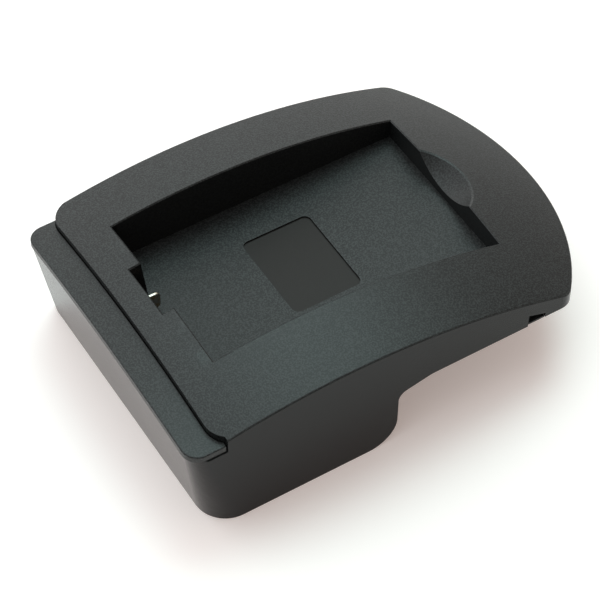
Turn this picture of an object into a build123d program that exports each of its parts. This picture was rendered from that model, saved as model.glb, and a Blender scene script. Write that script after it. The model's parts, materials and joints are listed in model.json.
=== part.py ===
from build123d import *
import math
import os

# Charging cradle for a camera battery. All sizes are in millimetres.
# X runs along the cradle from the thick contact end to the thin nose, Y runs across it
# and Z is up. The origin is on the table, under the middle of the cradle.

# Overall form
length = 93.6  # contact end to the tip of the nose
width = 64.0  # across the top edges of the two long sides
peak_height = 30.3  # highest line of the crowned top
peak_from_end = 33.0  # where along the length the top is highest
sweep_radius = 135.0  # curve of the top along the length
crown = 2.9  # rise of the top from its long edges to its middle
side_lean = 0.6  # each long side leans in by this from its top edge to the table
end_lean = 4.1  # the end wall leans in by this from the end cover to the table
nose_radius = 46.7  # plan curve of the nose
nose_shift = 0.2  # tip of the nose from the middle line, towards the far side
near_nose_corner = 3.6  # rounding between the nose and the long sides
far_nose_corner = 3.6
inner_nose_corner = 2.0  # least rounding of these corners inside
near_foot_corner = 6.4  # upright corners of the thick end at the table, near and far
far_foot_corner = 3.0
rim_rounding = 0.35  # outer top edge

# Stepped underside
step_from_end = 43.4  # riser between the thick block and the thin part
step_foot_radius = 6.0  # rounding at the foot of the riser
step_head_radius = 2.2  # hollow at the head of the riser
step_head_height = 13.4  # where the riser turns into the rising run
thin_from_end = 50.5  # where the rising run meets the flat underside
thin_height = 15.0  # underside of the thin part above the table
nose_relief = 0.45  # lower edge of the wall round the nose, above that underside

# Walls
wall = 1.8  # outer walls
skin = 1.7  # thickness of the crowned top
nose_wall = 5.0  # solid rim of the nose
tray_wall = 1.5  # walls and floor of the battery tray
fit = 0.15  # clearance round pieces that drop into one another

# Battery tray
pocket_from_end = 13.0
pocket_length = 61.5
pocket_width = 37.4
pocket_shift = 1.25  # the tray sits this much towards the far side
pocket_lean = 1.2  # the contact end of the tray leans in by this from its top edge to the floor
tray_gap = 0.2  # tray above the bottom cover of the thin part
scoop_radius = 12.6  # ball that cuts the thumb scoop
scoop_inset = 3.7  # centre of that ball inside the tray's nose end
scoop_height = 13.75  # centre of that ball above the tray floor
tray_chamfer = 0.25  # top edge of the tray, its notch and its scoop
label_from_end = 35.3
label_length = 14.7
label_width = 19.9
label_near_margin = 8.5  # tray's near wall to the label field
label_depth = 0.35
label_corner = 1.4

# Contact notch, contact blades and their carrier
notch_depth = 2.3  # how far the notch goes back from the tray wall
notch_width = 12.3
notch_shift = 2.5  # middle of the notch from the cradle's middle line
blade_spacing = 5.8
blade_thickness = 0.4
blade_reach = 1.85  # blade nose beyond the tray wall
blade_top = 4.55  # top of the blade nose above the tray floor
blade_lift = 0.6  # gap between the blade nose and the tray floor
blade_depth = 2.0  # blade inside the carrier
blade_tail = 9.0  # blade tail below the tray floor
blade_tail_width = 1.4
blade_nose_rounding = 1.0
slot_play = 0.05  # clearance of a blade in its slot
carrier_depth = 3.4
carrier_width = 16.0
carrier_headroom = 0.8  # carrier below the inside of the crowned top
carrier_drop = 6.5  # carrier below the tray floor
ear_width = 5.6
ear_depth = 4.8
ear_thickness = 2.4
lead_diameter = 1.2
lead_bend = 2.0
lead_inset = 1.5  # soldered end of a lead from the edge of the board

# End cover
seam_from_end = 5.6  # end cover up to the top frame
frame_corner = 5.0  # rounded corners of the top frame at the seam
cover_step = 1.3  # end cover below the top frame
cover_thickness = 1.3
cover_crown = 1.75  # rise of the end cover from its ends to its middle, at its outer edge
cover_rise = 1.0  # by how much it is crowned more at the seam
cover_gap = 0.3  # open line round the end cover
seam_gap = 0.15  # open line between the end cover and the top frame
cover_corner = 3.3  # plan corners of the end cover and of the walls under it
cover_reach = 7.2  # tips of the end cover beside the frame corners
cover_near_inset = 0.3
cover_far_inset = 1.7
cover_rounding = 0.25  # outer top edge of the end cover
cover_line_depth = 0.8  # open line under the near end of the end cover
cover_far_drop = 1.25  # far wall below the underside of the end cover
cover_lip = 1.2  # ledge of the frame under the end cover
cover_lip_thickness = 1.2
hook_width = 8.0
hook_drop = 3.0
hook_thickness = 1.2
hook_spacing = 34.0

# Latch slots in the long sides
slot_from_end = 71.7
slot_length = 3.8
slot_height = 3.05  # its roof falls towards the nose, from this
slot_nose_height = 1.6  # to this
lug_height = 0.85  # lug of the bottom cover in the foot of the slot
lug_inset = 0.05  # lug behind the face of the wall

# Bottom cover and screws
base_thickness = 1.5
cup_diameter = 7.0  # raised cups round the screw heads
cup_height = 3.1
boss_diameter = 5.4
head_diameter = 4.0
head_height = 1.2
head_recess = 1.4
head_chamfer = 0.4
cross_length = 2.2  # driver recess in a screw head
cross_width = 0.5
cross_depth = 0.7
shank_diameter = 2.0
screw_length = 6.0
board_screw_length = 4.6
screw_play = 0.4  # clearance hole over a shank
thread_play = 0.06  # pilot bore over a shank
deep_screw_from_end = 17.0
thin_screw_from_end = 65.5

# Board and the contacts to the charger base
board_from_end = 14.5
board_length = 22.0
board_width = 26.0
board_thickness = 1.2
board_height = 5.6  # underside of the board above the table
board_corner = 1.0
board_screw_inset = 3.2
pad_width = 3.2
pad_height = 4.4
pad_thickness = 0.5
pad_recess = 0.2  # pad behind the face of the riser
pad_spacing = 12.0
pad_foot = 3.2  # strip lying on the board
chip_length = 3.2
chip_width = 1.6
chip_height = 0.6
chip_spacing = 4.0
chip_count = 3

# Places that follow from the sizes above
end_x = -length / 2
nose_x = length / 2
edge_height = peak_height - crown  # highest point of the long top edges
clear_height = 2 * peak_height  # above everything
peak_x = end_x + peak_from_end
axis_height = peak_height - sweep_radius
crown_radius = ((width / 2) ** 2 + crown**2) / (2 * crown)
pocket_x = end_x + pocket_from_end
pocket_end_x = pocket_x + pocket_length
pocket_near = pocket_shift - pocket_width / 2
pocket_far = pocket_shift + pocket_width / 2
tray_underside = thin_height + base_thickness + tray_gap
pocket_floor = tray_underside + tray_wall
seam_x = end_x + seam_from_end
step_x = end_x + step_from_end
notch_x = pocket_x - notch_depth
notch_near = notch_shift - notch_width / 2
notch_far = notch_shift + notch_width / 2
carrier_back = notch_x - carrier_depth
blade_back = notch_x - blade_depth
ear_x = pocket_x - tray_wall - fit - ear_depth / 2
board_x = end_x + board_from_end
board_end_x = board_x + board_length
board_top = board_height + board_thickness
board_near = pocket_shift - board_width / 2
board_far = pocket_shift + board_width / 2
inner_half = width / 2 - side_lean - wall  # inside of the long walls at the table
channel_near = (pocket_near - tray_wall - inner_half) / 2
channel_far = (pocket_far + tray_wall + inner_half) / 2
cover_screws_at = [
    (end_x + deep_screw_from_end, channel_near, 0),
    (end_x + deep_screw_from_end, channel_far, 0),
    (end_x + thin_screw_from_end, channel_near, thin_height),
    (end_x + thin_screw_from_end, channel_far, thin_height),
]
ear_offset = (carrier_width + ear_width) / 2
ears_at = [notch_shift - ear_offset, notch_shift + ear_offset]
board_screws_at = [board_near + board_screw_inset, board_far - board_screw_inset]
blades_at = [notch_shift - blade_spacing / 2, notch_shift + blade_spacing / 2]
pads_at = [pocket_shift - pad_spacing / 2, pocket_shift + pad_spacing / 2]


def block(x0, x1, y0, y1, z0, z1):
    """A block between two corners."""
    return Pos((x0 + x1) / 2, (y0 + y1) / 2, (z0 + z1) / 2) * Box(x1 - x0, y1 - y0, z1 - z0)


def post(x, y, z0, z1, diameter):
    """An upright round post or bore."""
    return Pos(x, y, (z0 + z1) / 2) * Cylinder(diameter / 2, z1 - z0)


def top_height(x, y):
    """Height of the crowned top at a place in plan."""
    fall = crown_radius - math.sqrt(crown_radius**2 - y**2)
    return axis_height + math.sqrt((sweep_radius - fall) ** 2 - (x - peak_x) ** 2)


cover_top = top_height(seam_x, width / 2) - cover_step
cover_underside = cover_top - cover_thickness
cover_peak = cover_top + cover_crown
carrier_top = top_height(carrier_back, notch_shift + carrier_width / 2) - skin - carrier_headroom


def barrel(depth):
    """The crowned and swept top, sunk by a depth: one arc turned about a line across the cradle."""
    peak = peak_height - depth
    side = peak - crown_radius + math.sqrt(crown_radius**2 - width**2)
    with BuildPart() as turned:
        with BuildSketch(Plane.YZ.offset(peak_x)):
            with BuildLine():
                Polyline((width, side), (width, axis_height), (-width, axis_height), (-width, side))
                ThreePointArc((-width, side), (0, peak), (width, side))
            make_face()
        revolve(axis=Axis((peak_x, 0, axis_height), (0, 1, 0)))
    return turned.part


def across(sketch):
    """A side view carried right across the cradle."""
    return extrude(sketch, amount=width, both=True)


def wall_plan(height, inset, nose_inset):
    """Plan of the walls at a height: straight sides, rounded corners and an arched nose."""
    half = width / 2 - side_lean * (1 - height / edge_height) - inset
    start = end_x + end_lean * (1 - height / cover_peak) + inset
    radius = nose_radius - nose_inset
    tip = nose_x - nose_inset
    near_x = tip - radius + math.sqrt(radius**2 - (half + nose_shift) ** 2)
    far_x = tip - radius + math.sqrt(radius**2 - (half - nose_shift) ** 2)
    rise = height / cover_top
    near_corner = near_foot_corner * (1 - rise) + cover_corner * rise - inset
    far_corner = far_foot_corner * (1 - rise) + cover_corner * rise - inset
    with BuildSketch(Plane.XY.offset(height)) as sketch:
        with BuildLine():
            FilletPolyline((near_x, -half), (start, -half), (start, half), (far_x, half),
                           radius=[near_corner, far_corner])
            ThreePointArc((far_x, half), (tip, nose_shift), (near_x, -half))
        make_face()
        fillet(sketch.vertices().sort_by(lambda v: v.X - v.Y)[-1],
               max(near_nose_corner - nose_inset, inner_nose_corner))
        fillet(sketch.vertices().sort_by(lambda v: v.X + v.Y)[-1],
               max(far_nose_corner - nose_inset, inner_nose_corner))
    return sketch.sketch


def body_form(inset, nose_inset, depth):
    """The body with its leaning walls under the crowned top, or with insets its hollow."""
    walls = loft([wall_plan(height, inset, nose_inset) for height in (0, peak_height)], ruled=True)
    return walls & barrel(depth)


def above_step(rise):
    """All above the stepped underside, or with a rise all above the inner face of the bottom cover."""
    slope = math.atan2(thin_height - step_head_height, thin_from_end - step_from_end)
    start = end_x - length
    finish = nose_x + length
    riser = step_x - rise
    knee = step_head_height + rise / math.cos(slope) - rise * math.tan(slope)
    flat = end_x + thin_from_end - rise * math.tan(slope / 2)
    with BuildSketch(Plane.XZ) as sketch:
        with BuildLine():
            FilletPolyline((start, rise), (riser, rise), (riser, knee), (flat, thin_height + rise),
                           (finish, thin_height + rise),
                           radius=[step_foot_radius - rise, step_head_radius + rise, step_foot_radius])
            Polyline((finish, thin_height + rise), (finish, clear_height),
                     (start, clear_height), (start, rise))
        make_face()
    return across(sketch.sketch)


def under_cover(height):
    """All below the surface that the end cover follows: crowned, and more so towards the seam."""
    half = width / 2
    sections = []
    for x in (end_x - cover_reach, end_x + 2 * cover_reach):
        rise = cover_crown + cover_rise * (x - end_x) / seam_from_end
        with BuildSketch(Plane.YZ.offset(x)) as section:
            with BuildLine():
                Polyline((half, height), (half, -height), (-half, -height), (-half, height))
                ThreePointArc((-half, height), (0, height + rise), (half, height))
            make_face()
        sections.append(section.sketch)
    return loft(sections, ruled=True)


def frame_plan(gap):
    """Plan of the top frame with its two rounded corners at the seam."""
    frame = Pos(seam_x - gap + length, 0) * Rectangle(2 * length, width + 2 * gap)
    return fillet(frame.vertices().sort_by(Axis.X)[:2], frame_corner + gap)


def end_strip(gap):
    """Plan of the end cover before the top frame is taken from it, or with a gap of the bed it lies in."""
    near = -width / 2 + cover_near_inset - gap
    far = width / 2 - cover_far_inset + gap
    strip = Pos(end_x + cover_reach / 2, (near + far) / 2) * Rectangle(cover_reach + 2 * gap, far - near)
    return fillet(strip.vertices().sort_by(Axis.X)[:2], cover_corner + gap)


def tray_space():
    """The space of the battery tray: its walls are upright, but the contact end leans in to the floor."""
    slope = pocket_lean / (top_height(pocket_x, pocket_shift) - pocket_floor)
    foot_x = pocket_x + pocket_lean
    with BuildSketch(Plane.XZ) as side:
        with BuildLine():
            Polyline((foot_x, pocket_floor), (pocket_end_x, pocket_floor), (pocket_end_x, clear_height),
                     (foot_x - slope * (clear_height - pocket_floor), clear_height), close=True)
        make_face()
    return across(side.sketch) & block(end_x, nose_x, pocket_near, pocket_far, 0, clear_height)


def latch_slots():
    """The slots in the long sides: open to below, with a roof that falls towards the nose."""
    start = end_x + slot_from_end
    finish = start + slot_length
    between = width / 2 - 2 * wall
    with BuildSketch(Plane.XZ) as side:
        with BuildLine():
            Polyline((start, 0), (finish, 0), (finish, thin_height + slot_nose_height),
                     (start, thin_height + slot_height), close=True)
        make_face()
    return across(side.sketch) - block(end_x, nose_x, -between, between, -clear_height, clear_height)


def label_field():
    """The sunk label field with rounded corners."""
    x = end_x + label_from_end + label_length / 2
    y = pocket_near + label_near_margin + label_width / 2
    field = Pos(x, y, pocket_floor - label_depth) * Rectangle(label_length, label_width)
    return extrude(fillet(field.vertices(), label_corner), amount=label_depth)


def make_upper_housing():
    """The black moulding: side walls, crowned top frame and battery tray in one piece."""
    scoop_at = Pos(pocket_end_x - scoop_inset, pocket_shift, pocket_floor + scoop_height)
    outside = body_form(0, 0, 0)
    outside -= tray_space()
    outside -= block(notch_x, pocket_x + pocket_lean, notch_near, notch_far, pocket_floor, clear_height)
    floor_body = block(pocket_x, nose_x, pocket_near, pocket_far, 0, pocket_floor)
    outside -= scoop_at * Sphere(scoop_radius) - floor_body
    crowned_top = outside.faces().filter_by(GeomType.REVOLUTION).sort_by(SortBy.AREA)[-1]
    outside = chamfer(crowned_top.inner_wires()[0].edges(), tray_chamfer)
    crowned_top = outside.faces().filter_by(GeomType.REVOLUTION).sort_by(SortBy.AREA)[-1]
    outside = fillet([e for e in crowned_top.outer_wire().edges() if e.center().X > seam_x], rim_rounding)
    outside -= label_field()

    tray = block(pocket_x - tray_wall, pocket_end_x + tray_wall, pocket_near - tray_wall,
                 pocket_far + tray_wall, tray_underside, clear_height)
    lip = block(seam_x - cover_lip, seam_x + tray_wall, -inner_half - wall / 2, inner_half + wall / 2,
                cover_underside - cover_lip_thickness, clear_height)
    far_end = width / 2 - cover_far_inset
    ledge = block(end_x, seam_x + frame_corner, far_end - cover_lip, width / 2,
                  cover_underside - cover_far_drop - cover_lip_thickness, clear_height)
    bowl = scoop_at * Sphere(scoop_radius + tray_wall)
    bowl &= block(pocket_x, nose_x, -width, width, tray_underside, clear_height)
    posts = [post(x, y, foot + cup_height, clear_height, boss_diameter) for x, y, foot in cover_screws_at]
    posts += [post(ear_x, y, pocket_floor, clear_height, boss_diameter) for y in ears_at]
    hollow = body_form(wall, nose_wall, skin) - [tray, lip, ledge, bowl, *posts]
    housing = (outside & above_step(0)) - hollow

    bed_end_x = end_x + cover_reach + cover_gap
    near_end = Pos(bed_end_x - length / 2, -width / 4) * Rectangle(length, width / 2)
    far_corner = Pos(seam_x + frame_corner - length / 2, width / 4) * Rectangle(length, width / 2)
    housing -= extrude(near_end + far_corner - frame_plan(0), amount=clear_height) - under_cover(cover_top)
    cover_bed = extrude(end_strip(cover_gap) - frame_plan(0), amount=clear_height)
    housing -= cover_bed - under_cover(cover_underside)
    housing -= block(end_x + cover_corner, bed_end_x, -width, cover_line_depth - width / 2,
                     cover_underside - cover_gap, cover_top)
    beyond_cover = Pos(bed_end_x - length / 2, far_end - cover_corner + width / 2) * Rectangle(length, width)
    beyond_cover -= end_strip(0) + frame_plan(0)
    housing -= Pos(0, 0, cover_underside - cover_far_drop) * extrude(beyond_cover, amount=clear_height)
    housing -= latch_slots()
    housing -= block(end_x + slot_from_end, nose_x, -width, width, 0, thin_height + nose_relief)
    pilot = shank_diameter + thread_play
    for x, y, foot in cover_screws_at:
        housing -= post(x, y, foot, foot + head_recess + screw_length + fit, pilot)
    for y in ears_at:
        housing -= post(ear_x, y, tray_underside, pocket_floor - ear_thickness + screw_length + fit, pilot)
    return housing


def make_end_cover():
    """The thin crowned strip that closes the contact end, with two snap hooks under it."""
    strip = extrude(end_strip(0) - frame_plan(seam_gap), amount=clear_height)
    plate = (strip & under_cover(cover_top)) - under_cover(cover_underside)
    crowned_top = plate.faces().sort_by(Axis.Z)[-1]
    plate = fillet([e for e in crowned_top.edges() if e.center().X < end_x + cover_corner], cover_rounding)
    hook_foot = cover_underside - hook_drop
    hook_x = end_x + wall + end_lean * (cover_peak - hook_foot) / cover_peak + fit
    for y in (-hook_spacing / 2, hook_spacing / 2):
        hook = block(hook_x, hook_x + hook_thickness, y - hook_width / 2, y + hook_width / 2,
                     hook_foot, clear_height)
        plate += hook & under_cover((cover_top + cover_underside) / 2)
    return plate


def make_bottom_cover():
    """The stepped cover that closes the underside, with screw cups, board posts and two lugs."""
    sheet = above_step(0) - above_step(base_thickness)
    cover = sheet & body_form(wall + fit, nose_wall + fit, skin + fit)
    lug_x = end_x + slot_from_end + fit
    lug_end_x = lug_x + slot_length - 2 * fit
    cover += block(lug_x, lug_end_x, -width / 2, width / 2, thin_height + nose_relief,
                   thin_height + lug_height) & body_form(lug_inset, lug_inset, skin)
    for x, y, foot in cover_screws_at:
        cover += post(x, y, foot, foot + cup_height, cup_diameter)
    rests = [(board_x + board_screw_inset, y) for y in board_screws_at]
    rests += [(board_end_x - board_screw_inset, y) for y in board_screws_at]
    for x, y in rests:
        cover += post(x, y, base_thickness / 2, board_height, boss_diameter)
    for x, y, foot in cover_screws_at:
        cover -= post(x, y, foot - fit, foot + head_recess, head_diameter + screw_play)
        cover -= post(x, y, foot, foot + cup_height, shank_diameter + screw_play)
    for x, y in rests[:2]:
        cover -= post(x, y, board_top - board_screw_length - fit, board_height, shank_diameter + thread_play)
    for y in pads_at:
        cover -= block(step_x - 2 * base_thickness, step_x + fit, y - pad_width / 2 - fit,
                       y + pad_width / 2 + fit, board_top - fit, board_top + pad_height + fit)
    return cover


def blade_side(grow):
    """Side view of a contact blade: a nose into the tray and a tail down through the carrier."""
    top = pocket_floor + blade_top + grow
    low = pocket_floor + blade_lift - grow
    foot = pocket_floor - blade_tail - grow
    back = blade_back - grow
    tail_x = blade_back + blade_tail_width + grow
    tip = pocket_x + blade_reach + grow
    with BuildSketch(Plane.XZ) as sketch:
        with BuildLine():
            Polyline((back, foot), (tail_x, foot), (tail_x, low), (tip, low), (tip, top), (back, top),
                     close=True)
        make_face()
        fillet(sketch.vertices().sort_by(Axis.X)[-2:], blade_nose_rounding)
    return sketch.sketch


def make_blade(y):
    """One flat contact blade."""
    return Pos(0, y, 0) * extrude(blade_side(0), amount=blade_thickness / 2, both=True)


def make_contact_carrier():
    """The block behind the notch that holds the two blades upright, with a screw ear at each end."""
    half = carrier_width / 2
    carrier = block(carrier_back, notch_x, notch_shift - half, notch_shift + half,
                    pocket_floor - carrier_drop, carrier_top)
    ear_reach = half + ear_width
    carrier += block(ear_x - ear_depth / 2, ear_x + ear_depth / 2, notch_shift - ear_reach,
                     notch_shift + ear_reach, pocket_floor - ear_thickness, pocket_floor)
    for y in ears_at:
        carrier -= post(ear_x, y, tray_underside - ear_thickness, pocket_floor, shank_diameter + screw_play)
    for y in blades_at:
        slot = extrude(blade_side(slot_play), amount=blade_thickness / 2 + slot_play, both=True)
        carrier -= Pos(0, y, 0) * slot
    return carrier


def make_screw(shank):
    """A pan-head screw, shank up, with the seat of its head at the origin."""
    head = post(0, 0, -head_height, 0, head_diameter)
    head = chamfer(head.edges().sort_by(Axis.Z)[0], head_chamfer)
    for turn in (0, 90):
        head -= Pos(0, 0, -head_height) * Rot(0, 0, turn) * Box(cross_length, cross_width, 2 * cross_depth)
    return head + post(0, 0, 0, shank, shank_diameter)


def make_circuit_board():
    """The small board that joins the blades to the contacts of the charger base."""
    outline = RectangleRounded(board_length, board_width, board_corner)
    centre = Pos((board_x + board_end_x) / 2, pocket_shift, board_height)
    board = extrude(centre * outline, amount=board_thickness)
    for y in board_screws_at:
        board -= post(board_x + board_screw_inset, y, board_height, board_top, shank_diameter + screw_play)
    return board


def make_lead(y):
    """An insulated lead from the tail of a blade over to the board."""
    height = pocket_floor - blade_tail + lead_diameter
    tail_x = blade_back + blade_tail_width
    end = board_x + lead_inset
    route = FilletPolyline((tail_x, y, height), (end, y, height), (end, y, board_top), radius=lead_bend)
    return sweep(Plane(origin=route @ 0, z_dir=route % 0) * Circle(lead_diameter / 2), path=route)


def make_base_contact(y):
    """A brass strip from the board to a pad in the window of the riser."""
    face = step_x - pad_recess
    start = board_end_x - pad_foot
    with BuildSketch(Plane.XZ) as sketch:
        with BuildLine():
            Polyline((start, board_top), (face, board_top), (face, board_top + pad_height),
                     (face - pad_thickness, board_top + pad_height),
                     (face - pad_thickness, board_top + pad_thickness),
                     (start, board_top + pad_thickness), close=True)
        make_face()
    return Pos(0, y, 0) * extrude(sketch.sketch, amount=pad_width / 2, both=True)


def make_chips():
    """The chip resistors in a row on the board, which tell the charger base what to deliver."""
    x = (board_x + board_end_x) / 2
    first = pocket_shift - chip_spacing * (chip_count - 1) / 2
    chips = []
    for index in range(chip_count):
        y = first + index * chip_spacing
        chips.append(block(x - chip_length / 2, x + chip_length / 2, y - chip_width / 2, y + chip_width / 2,
                           board_top, board_top + chip_height))
    return Compound(chips)


parts = {
    "upper_housing": make_upper_housing(),
    "end_cover": make_end_cover(),
    "bottom_cover": make_bottom_cover(),
    "contact_carrier": make_contact_carrier(),
    "contact_negative": make_blade(blades_at[0]),
    "contact_positive": make_blade(blades_at[1]),
    "lead_negative": make_lead(blades_at[0]),
    "lead_positive": make_lead(blades_at[1]),
    "circuit_board": make_circuit_board(),
    "code_resistors": make_chips(),
    "base_contact_negative": make_base_contact(pads_at[0]),
    "base_contact_positive": make_base_contact(pads_at[1]),
    "cover_screws": Compound([Pos(x, y, foot + head_recess) * make_screw(screw_length)
                              for x, y, foot in cover_screws_at]),
    "carrier_screws": Compound([Pos(ear_x, y, pocket_floor - ear_thickness) * make_screw(screw_length)
                                for y in ears_at]),
    "board_screws": Compound([Pos(board_x + board_screw_inset, y, board_top) * Rot(180, 0, 0)
                              * make_screw(board_screw_length) for y in board_screws_at]),
}

os.makedirs("parts", exist_ok=True)
for name, solid in parts.items():
    export_step(solid, f"parts/{name}.step")
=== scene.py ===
import json
import math

import bpy
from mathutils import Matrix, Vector

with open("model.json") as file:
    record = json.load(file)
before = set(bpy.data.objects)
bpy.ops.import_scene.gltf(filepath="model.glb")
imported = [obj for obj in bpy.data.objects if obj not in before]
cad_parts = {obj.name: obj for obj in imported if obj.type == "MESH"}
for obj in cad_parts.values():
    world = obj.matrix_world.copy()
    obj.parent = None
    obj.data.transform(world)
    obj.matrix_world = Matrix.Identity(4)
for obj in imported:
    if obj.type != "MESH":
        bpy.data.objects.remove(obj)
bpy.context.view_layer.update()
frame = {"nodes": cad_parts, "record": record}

# Bottom cover
# The stepped cover of the underside, moulded in black plastic with a plain satin face.
# It lies inside the walls of the housing and four screws hold it.


class Reading:
    """A value that varies over a surface. Python arithmetic on it adds Math nodes to its material."""

    def __init__(self, socket):
        self.socket = socket
        self.tree = socket.id_data

    def node(self, kind, settings, sockets, output=0):
        """Adds a node: its settings first, then a number, colour or reading on each socket."""
        made = self.tree.nodes.new(kind)
        for name, value in settings.items():
            setattr(made, name, value)
        for name, value in sockets.items():
            if isinstance(value, Reading):
                self.tree.links.new(value.socket, made.inputs[name])
            else:
                made.inputs[name].default_value = value
        return Reading(made.outputs[output])

    def sibling(self, output):
        """Another output of the same node."""
        return Reading(self.socket.node.outputs[output])

    def math(self, operation, first, second):
        return self.node("ShaderNodeMath", {"operation": operation}, {0: first, 1: second})

    def __add__(self, other):
        return self.math("ADD", self, other)

    __radd__ = __add__

    def __sub__(self, other):
        return self.math("SUBTRACT", self, other)

    def __rsub__(self, other):
        return self.math("SUBTRACT", other, self)

    def __mul__(self, other):
        return self.math("MULTIPLY", self, other)

    __rmul__ = __mul__

    def larger(self, other):
        return self.math("MAXIMUM", self, other)

    def ramp(self, start, end, first, last):
        """Goes smoothly from a first to a last value while this one goes from start to end."""
        return self.node("ShaderNodeMapRange", {"interpolation_type": "SMOOTHSTEP"},
                         {"Value": self, "From Min": start, "From Max": end, "To Min": first, "To Max": last})

    def between(self, low, high, soft):
        """1 where this value lies between two limits and 0 beyond them, with soft edges."""
        return self.ramp(low - soft, low + soft, 0, 1) * self.ramp(high - soft, high + soft, 1, 0)

    def noise(self, size, detail):
        """Noise with bumps of about a size in metres, read at this place."""
        return self.node("ShaderNodeTexNoise", {"noise_dimensions": "3D"},
                         {"Vector": self, "Scale": 1 / size, "Detail": detail, "Roughness": 0.55})

    def blend(self, first, second):
        """A colour from a first to a second one as this value goes from 0 to 1."""
        first, second = (tone if isinstance(tone, Reading) else (*tone, 1) for tone in (first, second))
        return self.node("ShaderNodeMix", {"data_type": "RGBA"}, {0: self, 6: first, 7: second}, 2)

    def bump(self, height):
        """Surface normals for this value as a relief of a height in metres."""
        return self.node("ShaderNodeBump", {}, {"Height": self, "Strength": 1.0, "Distance": height})

    def feed(self, shader, name):
        self.tree.links.new(self.socket, shader.inputs[name])


def new_finish(name):
    """A new material, its shader, and the place on the piece in metres."""
    finish = bpy.data.materials.new(name)
    finish.use_nodes = True
    shader = finish.node_tree.nodes["Principled BSDF"]
    place = Reading(shader.outputs["BSDF"]).node("ShaderNodeTexCoord", {}, {}, "Object")
    return finish, shader, place


def dress(node, finish):
    """Gives a node of the frame its finish."""
    mesh = frame["nodes"][node].data
    mesh.materials.clear()
    mesh.materials.append(finish)


deep_black = (0.0035, 0.0038, 0.0038)
worn_black = (0.0295, 0.0325, 0.0325)
plastic_gloss = 0.148
skin_gloss = 0.335
cloud_size = 0.018
cloud_tone = 0.2
cloud_sheen = 0.08
grain_size = 0.00030
grain_crests = (0.42, 0.62)
grain_tone = 0.75
grain_sheen = 0.12


def black_moulding(name, roughness, grain_height):
    """Black moulded plastic: a fine spark grain, with broad soft changes of tone and sheen."""
    finish, shader, place = new_finish(name)
    grain = place.noise(grain_size, 2.0)
    cloud = place.noise(cloud_size, 3.0)
    tone = cloud_tone * cloud + grain_tone * grain.ramp(*grain_crests, 0, 1)
    tone.blend(deep_black, worn_black).feed(shader, "Base Color")
    (roughness + cloud_sheen * (cloud - 0.5) + grain_sheen * (grain - 0.5)).feed(shader, "Roughness")
    grain.bump(grain_height).feed(shader, "Normal")
    shader.inputs["Specular IOR Level"].default_value = plastic_gloss
    shader.inputs["Coat Weight"].default_value = skin_gloss
    shader.inputs["Coat Roughness"].default_value = roughness
    return finish


cover_satin = 0.50
frame_grain = 0.00006
dress("bottom_cover", black_moulding("cover_black", cover_satin, frame_grain))

# Board and what is soldered to it
# A small varnished laminate with a row of chip resistors. It lies on four posts of the
# bottom cover, under two screws.
dark_varnish = (0.010, 0.060, 0.022)
pale_varnish = (0.020, 0.105, 0.040)
weave_size = 0.0011
weave_height = 0.00002
varnish_sheen = 0.28
weave_sheen = 0.16
finish, shader, place = new_finish("board_laminate")
weave = place.noise(weave_size, 2.0)
weave.blend(dark_varnish, pale_varnish).feed(shader, "Base Color")
(varnish_sheen + weave_sheen * weave).feed(shader, "Roughness")
weave.bump(weave_height).feed(shader, "Normal")
dress("circuit_board", finish)
resistor_satin = 0.35
resistor_grain = 0.00001
dress("code_resistors", black_moulding("resistor_body", resistor_satin, resistor_grain))

# Contacts
# Strips of spring brass with a thin nickel wash. Two blades stand out of the carrier into the
# tray, and two bent strips run from the board to the windows in the riser.
nickel_wash = (0.63, 0.61, 0.56)
bare_brass = (0.56, 0.45, 0.28)
rub_stretch = (1.0, 6.0, 1.0)
rub_size = 0.0009
rub_height = 0.00001
worn_through = (0.42, 0.66)
wash_sheen = 0.24
rub_sheen = 0.20
finish, shader, place = new_finish("contact_metal")
across_rubs = place.node("ShaderNodeMapping", {}, {"Vector": place, "Scale": rub_stretch})
rub = across_rubs.noise(rub_size, 4.0)
rub.ramp(*worn_through, 0, 1).blend(nickel_wash, bare_brass).feed(shader, "Base Color")
(wash_sheen + rub_sheen * rub).feed(shader, "Roughness")
rub.bump(rub_height).feed(shader, "Normal")
shader.inputs["Metallic"].default_value = 1.0
for node in ("contact_negative", "contact_positive", "base_contact_negative", "base_contact_positive"):
    dress(node, finish)

# Contact carrier
# A plain black block behind the notch of the tray. The blades stand in its slots, and a screw
# through an ear at each end holds it under the housing.
carrier_satin = 0.45
carrier_grain = 0.00002
dress("contact_carrier", black_moulding("carrier_black", carrier_satin, carrier_grain))

# Leads
# Two short insulated wires, one black and one red. They are soldered to the tails of the
# blades and to the board.
peel_size = 0.0008
peel_height = 0.00002
sleeve_sheen = 0.36
peel_sheen = 0.14


def insulation(name, dark, pale):
    """Soft wire insulation with a slight orange-peel surface."""
    finish, shader, place = new_finish(name)
    peel = place.noise(peel_size, 2.0)
    peel.blend(dark, pale).feed(shader, "Base Color")
    (sleeve_sheen + peel_sheen * peel).feed(shader, "Roughness")
    peel.bump(peel_height).feed(shader, "Normal")
    return finish


dress("lead_negative", insulation("lead_black", (0.010, 0.010, 0.011), (0.020, 0.020, 0.022)))
dress("lead_positive", insulation("lead_red", (0.40, 0.020, 0.014), (0.52, 0.035, 0.025)))

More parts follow.
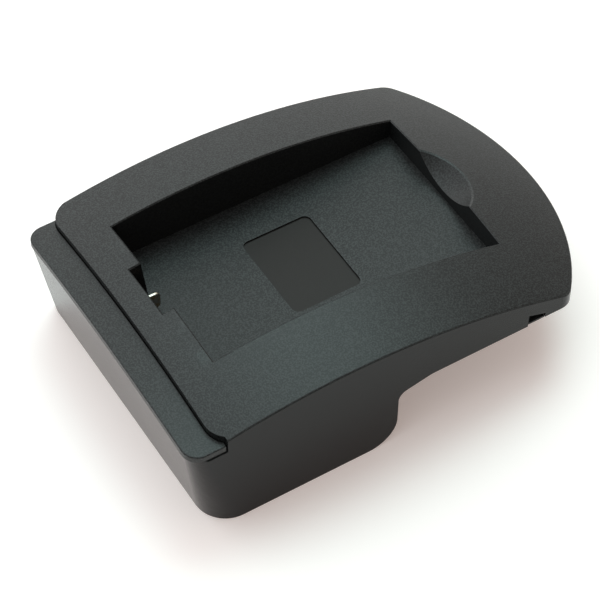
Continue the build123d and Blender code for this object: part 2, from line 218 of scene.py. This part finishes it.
# Screws
# Zinc-plated pan-head screws with a cross recess, driven into bosses of the housing and into
# posts of the bottom cover.
dull_zinc = (0.32, 0.32, 0.33)
bright_zinc = (0.52, 0.52, 0.53)
plating_size = 0.0005
plating_height = 0.00001
zinc_sheen = 0.30
plating_sheen = 0.20
finish, shader, place = new_finish("screw_steel")
plating = place.noise(plating_size, 3.0)
plating.blend(dull_zinc, bright_zinc).feed(shader, "Base Color")
(zinc_sheen + plating_sheen * plating).feed(shader, "Roughness")
plating.bump(plating_height).feed(shader, "Normal")
shader.inputs["Metallic"].default_value = 1.0
for node in ("cover_screws", "carrier_screws", "board_screws"):
    dress(node, finish)

# Upper housing
# Side walls, crowned top frame and battery tray in one black moulding, held by the four screws of
# the bottom cover. The top frame has a fine satin grain and the tray floor a coarser one. The walls
# and the bare label field are smoother. The walls of the tray are a little paler: a painted
# reflection of the tray floor.
record = frame["record"]
tray = next(space for space in record["physics"]["openings"] if space["name"] == "battery_tray")
(tray_start, tray_near, _), (tray_end, tray_far, _) = tray["box_m"]
tray_floor = next(mount for mount in record["mounts"] if mount["name"] == "battery_tray")["pos_m"][2]
label_depth = 0.00035
contact_end_lean = 0.0008
edge = 0.0001
steep = 0.3
level = 0.7
finish, shader, place = new_finish("housing_black")
along = place.node("ShaderNodeSeparateXYZ", {}, {"Vector": place}, "X")
over = along.sibling("Y")
height = along.sibling("Z")
in_tray = along.between(tray_start - contact_end_lean, tray_end + edge, edge)
in_tray = in_tray * over.between(tray_near - edge, tray_far + edge, edge)
floor_zone = in_tray * height.between(tray_floor - label_depth / 2, tray_floor + edge, edge)
label_zone = in_tray * height.between(tray_floor - 2 * label_depth, tray_floor - label_depth / 2, edge)
facing_up = place.node("ShaderNodeSeparateXYZ", {}, {"Vector": place.sibling("Normal")}, "Z")
wall_zone = facing_up.ramp(steep, level, 1, 0)
fine = place.noise(grain_size, 2.0)
cloud = place.noise(cloud_size, 3.0)

# What each zone adds to the tone, sheen, gloss and relief of the top frame. The tone added to the
# tray walls is a painted reflection of the tray floor.
floor_tone, floor_sheen, floor_gloss, floor_relief = 0.15, 0.03, -0.26, 0.5
wall_tone, wall_sheen, wall_gloss, wall_relief = -0.6, -0.24, -1.0, -0.6
label_sheen, label_gloss, label_relief = 0.05, -0.82, -0.6
# Paler colour on the walls of the tray: a painted reflection of the tray floor, not a colour of the plastic.
tray_wall_painted_light = 0.35
dark_label = (0.0112, 0.0095, 0.0085)
pale_label = (0.0180, 0.0154, 0.0140)
satin = 0.41
speckle = (grain_tone + floor_tone * floor_zone + wall_tone * wall_zone) * fine.ramp(*grain_crests, 0, 1)
tone = cloud_tone * cloud + speckle + tray_wall_painted_light * in_tray * wall_zone
# The grain and broad tone of the plastic, with the painted reflection on the tray walls.
grain_and_painted_light = tone.blend(deep_black, worn_black)
label_zone.blend(grain_and_painted_light, cloud.blend(dark_label, pale_label)).feed(shader, "Base Color")
sheen = satin + cloud_sheen * (cloud - 0.5) + grain_sheen * (fine - 0.5)
sheen = sheen + floor_sheen * floor_zone + label_sheen * label_zone + wall_sheen * wall_zone
sheen.feed(shader, "Roughness")
gloss = 1 + floor_gloss * floor_zone + label_gloss * label_zone + wall_gloss * wall_zone
(skin_gloss * gloss).feed(shader, "Coat Weight")
relief = 1 + floor_relief * floor_zone + label_relief * label_zone + wall_relief * wall_zone
(fine * relief).bump(frame_grain).feed(shader, "Normal")
shader.inputs["Coat Roughness"].default_value = satin
shader.inputs["Specular IOR Level"].default_value = plastic_gloss
dress("upper_housing", finish)

# End cover
# A thin crowned strip of the same plastic that closes the contact end. Its two hooks snap in
# behind the end wall, so it can come off for work on the contacts.
dress("end_cover", black_moulding("end_cover_black", satin, frame_grain))

# Floor
# A wide sheet of white paper on a table. It shows white to the camera and in reflections, and
# keeps the soft shadow of the cradle.
sheet_size = 8.0
paper_white = (0.89, 0.89, 0.89, 1)
shadow_warmth = (1.0, 0.80, 0.72)
shadow_lift = 0.25
paper_sheen = 0.9
bpy.ops.object.select_all(action="DESELECT")
bpy.ops.mesh.primitive_plane_add(size=sheet_size, location=(0, 0, 0))
floor = bpy.context.object
floor.name = "paper_floor"
finish, shader, place = new_finish("white_paper")
shader.inputs["Base Color"].default_value = paper_white
shader.inputs["Roughness"].default_value = paper_sheen
shader.inputs["Specular IOR Level"].default_value = 0.0


def rays(place, *names):
    """1 for rays of these kinds and 0 for others, in the material of a place."""
    found, *more = (place.node("ShaderNodeLightPath", {}, {}, name) for name in names)
    for kind in more:
        found = found.larger(kind)
    return found


seen = rays(place, "Is Camera Ray", "Is Glossy Ray", "Is Transmission Ray")
seen.blend((0, 0, 0), shadow_warmth).feed(shader, "Emission Color")
shader.inputs["Emission Strength"].default_value = shadow_lift
floor.data.materials.append(finish)

# Light
# A white tent round the table: a wide soft panel above the far left, a lower one at the far
# side, a small cool one overhead and a dim one at each end. Its near side is dim and a little warm.
studio = bpy.data.worlds.new("white_tent")
studio.use_nodes = True
outlet = studio.node_tree.nodes["World Output"]
direction = Reading(outlet.inputs["Surface"]).node("ShaderNodeTexCoord", {}, {}, "Generated")


def cloth(colour, strength):
    """A part of the tent, of one colour and strength."""
    return direction.node("ShaderNodeBackground", {}, {"Color": (*colour, 1), "Strength": strength})


def mixed(share, first, second):
    """The first light, or the second one as a share goes from 0 to 1."""
    return direction.node("ShaderNodeMixShader", {}, {0: share, 1: first, 2: second})


def hang(light, side, outer, inner, share, panel):
    """Hangs a panel on a side of the tent. It fades in from an outer to an inner angle in degrees."""
    facing = direction.node("ShaderNodeVectorMath", {"operation": "DOT_PRODUCT"},
                            {0: direction, 1: Vector(side).normalized()}, "Value")
    edges = (math.cos(math.radians(angle)) for angle in (outer, inner))
    return mixed(facing.ramp(*edges, 0, share), light, panel)


near_side = cloth((1.0, 0.80, 0.71), 0.20)
left_panel = cloth((1.0, 1.0, 0.99), 0.58)
right_panel = cloth((1.0, 0.86, 0.80), 0.62)
wide_panel = cloth((0.97, 1.0, 1.01), 1.66)
low_panel = cloth((1.0, 1.0, 0.98), 1.95)
cool_panel = cloth((0.74, 1.0, 0.98), 6.1)
light = hang(near_side, (-0.92, -0.15, 0.36), 80, 10, 1.0, left_panel)
light = hang(light, (0.80, -0.35, 0.48), 70, 0, 0.6, right_panel)
light = hang(light, (-0.30, 0.52, 0.80), 62, 12, 1.0, wide_panel)
light = hang(light, (0.20, 0.93, 0.30), 57, 0, 0.8, low_panel)
light = hang(light, (0.28, 0.29, 0.91), 20, 0, 1.0, cool_panel)
light = mixed(rays(direction, "Is Camera Ray"), light, cloth((1, 1, 1), 1.0))
light.feed(outlet, "Surface")
bpy.context.scene.world = studio

# Camera
# A long lens that looks down on the cradle from its near left, as in the photograph.
# It stands still, with everything in focus.
azimuth = math.radians(-31.507)
elevation = math.radians(50.147)
distance = 0.46405
target = Vector((-0.00551, -0.00068, 0.010))
back = Vector((math.sin(azimuth) * math.cos(elevation), -math.cos(azimuth) * math.cos(elevation),
               math.sin(elevation)))
lens = bpy.data.cameras.new("camera")
lens.sensor_width = 36.0
lens.lens = 147.1
lens.clip_start = 0.01
camera = bpy.data.objects.new("camera", lens)
camera.location = target + back * distance
camera.rotation_mode = "QUATERNION"
camera.rotation_quaternion = (-back).to_track_quat("-Z", "Y")
bpy.context.scene.collection.objects.link(camera)
bpy.context.scene.camera = camera
bpy.context.scene.view_settings.view_transform = "Standard"
